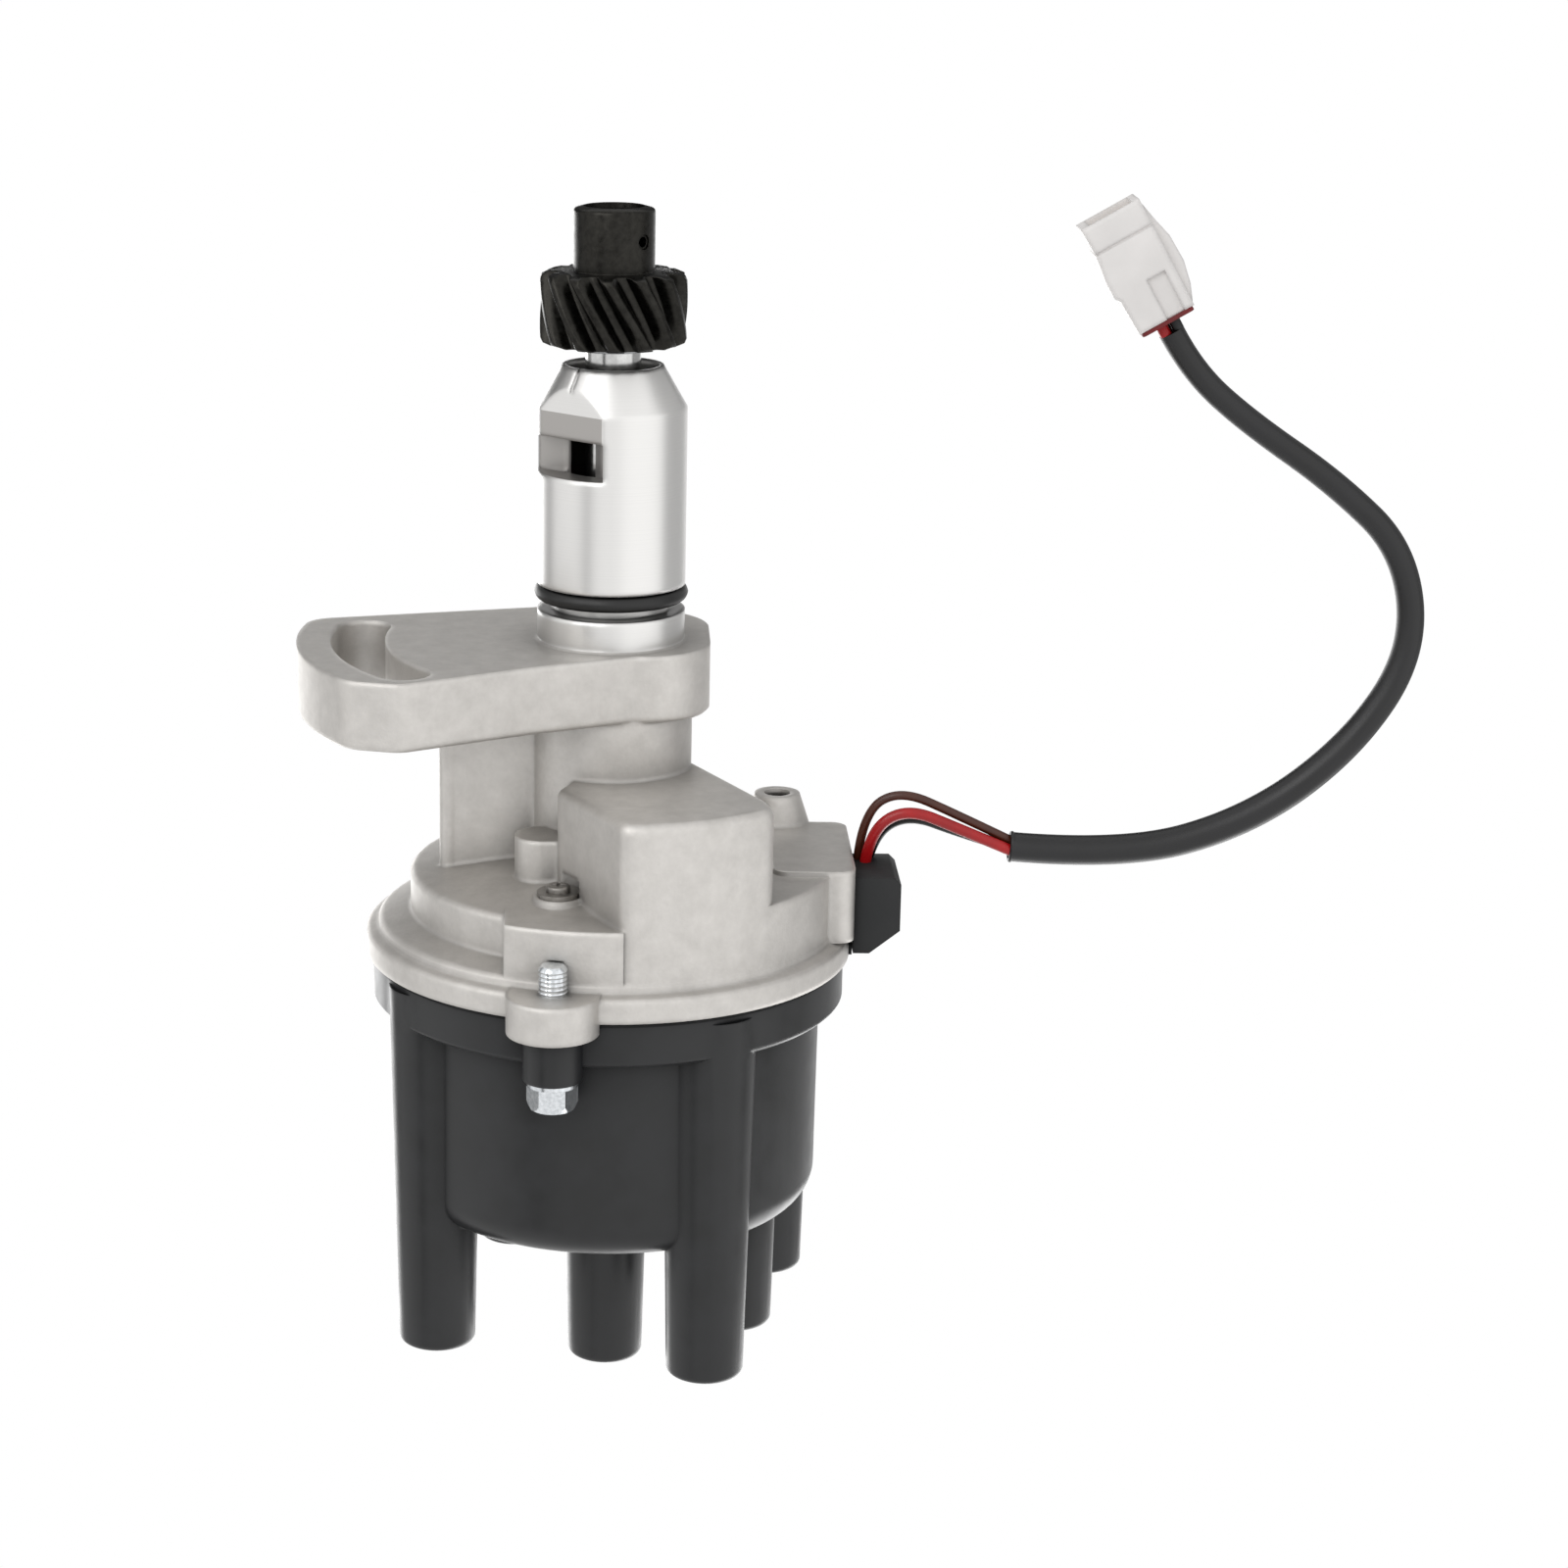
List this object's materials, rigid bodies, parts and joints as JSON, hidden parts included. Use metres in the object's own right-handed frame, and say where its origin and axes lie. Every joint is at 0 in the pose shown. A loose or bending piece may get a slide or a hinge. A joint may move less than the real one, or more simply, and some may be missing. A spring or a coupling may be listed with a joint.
{
  "type": "ignition distributor",
  "caption": "Gear-driven ignition distributor: machined shank, cast body with clamp arm, ribbed black cap with lead towers, and a sleeved wire lead with a plug.",
  "frame": {"origin": "on the shaft axis, in the plane of the clamp arm's seat face", "axes": "+Z along the shaft towards the cap; +X along the clamp arm; the module hump faces -Y and the lead leaves along -X"},
  "size_m": [0.2065, 0.1036, 0.2232],
  "materials": {
    "cast_aluminium": "satin",
    "black_resin": "semi-gloss",
    "steel": "machined",
    "dark_steel": "oiled",
    "zinc_steel": "bright zinc",
    "bronze": "sintered",
    "brass": "machined",
    "rubber": "matt",
    "seal_paper": "matt",
    "carbon": "matt",
    "module_resin": "matt",
    "rotor_resin": "moulded",
    "coil_tape": "varnished",
    "brown_cover": "semi-gloss",
    "red_cover": "semi-gloss",
    "black_cover": "semi-gloss",
    "sleeve_vinyl": "matt",
    "connector_nylon": "natural",
    "seal_silicone": "matt"
  },
  "bodies": {
    "body": {"housing": "cast_aluminium", "shank_o_ring": "rubber", "lower_bushing": "bronze", "upper_bushing": "bronze", "shaft_seal": "rubber", "ignition_module": "module_resin", "module_screws": "zinc_steel", "pickup_base_plate": "steel", "base_plate_screws": "zinc_steel", "pickup_core": "dark_steel", "pickup_coil": "coil_tape", "pickup_screws": "zinc_steel", "cap_gasket": "seal_paper", "distributor_cap": "black_resin", "lead_towers": "black_resin", "outer_terminals": "brass", "centre_terminal": "brass", "carbon_button": "carbon", "button_spring": "steel", "cap_screws": "zinc_steel", "cap_screw_washers": "zinc_steel", "ground_screw": "zinc_steel", "ground_screw_washer": "zinc_steel", "boss_plug": "dark_steel", "end_play_washer": "steel", "wire_grommet": "rubber", "brown_wire": "brown_cover", "red_wire": "red_cover", "black_wire": "black_cover", "lead_sleeve": "sleeve_vinyl", "brown_wire_tail": "brown_cover", "red_wire_tail": "red_cover", "black_wire_tail": "black_cover", "connector_shell": "connector_nylon", "connector_pins": "brass", "connector_seal": "seal_silicone"},
    "shaft": {"drive_shaft": "steel", "drive_gear": "dark_steel", "gear_roll_pin": "steel", "gear_washer": "steel", "governor_plate": "steel", "weight_pivots": "steel", "governor_springs": "steel", "sleeve_retaining_washer": "steel", "sleeve_retaining_screw": "zinc_steel"},
    "cam": {"cam_sleeve": "dark_steel", "reluctor": "dark_steel", "rotor_arm": "rotor_resin", "rotor_electrode": "brass", "rotor_set_screw": "steel"},
    "weight_a": {"governor_weight_a": "dark_steel"},
    "weight_b": {"governor_weight_b": "dark_steel"}
  },
  "joints": [
    {"name": "shaft_spin", "type": "hinge", "parent": "body", "child": "shaft", "pos_m": [0, 0, 0], "axis": [0, 0, 1], "continuous": true},
    {"name": "advance", "type": "hinge", "parent": "shaft", "child": "cam", "pos_m": [0, 0, 0.0573], "axis": [0, 0, 1], "range_deg": [0, 11], "deforming": ["governor_springs"]},
    {"name": "weight_a_swing", "type": "hinge", "parent": "shaft", "child": "weight_a", "pos_m": [0.017, 0, 0.0528], "axis": [0, 0, -1], "range_deg": [0, 14]},
    {"name": "weight_b_swing", "type": "hinge", "parent": "shaft", "child": "weight_b", "pos_m": [-0.017, 0, 0.0528], "axis": [0, 0, -1], "range_deg": [0, 14]}
  ],
  "couplings": [
    {"joint": "weight_a_swing", "follows": "advance", "ratio": 1.2667},
    {"joint": "weight_b_swing", "follows": "advance", "ratio": 1.2667}
  ]
}
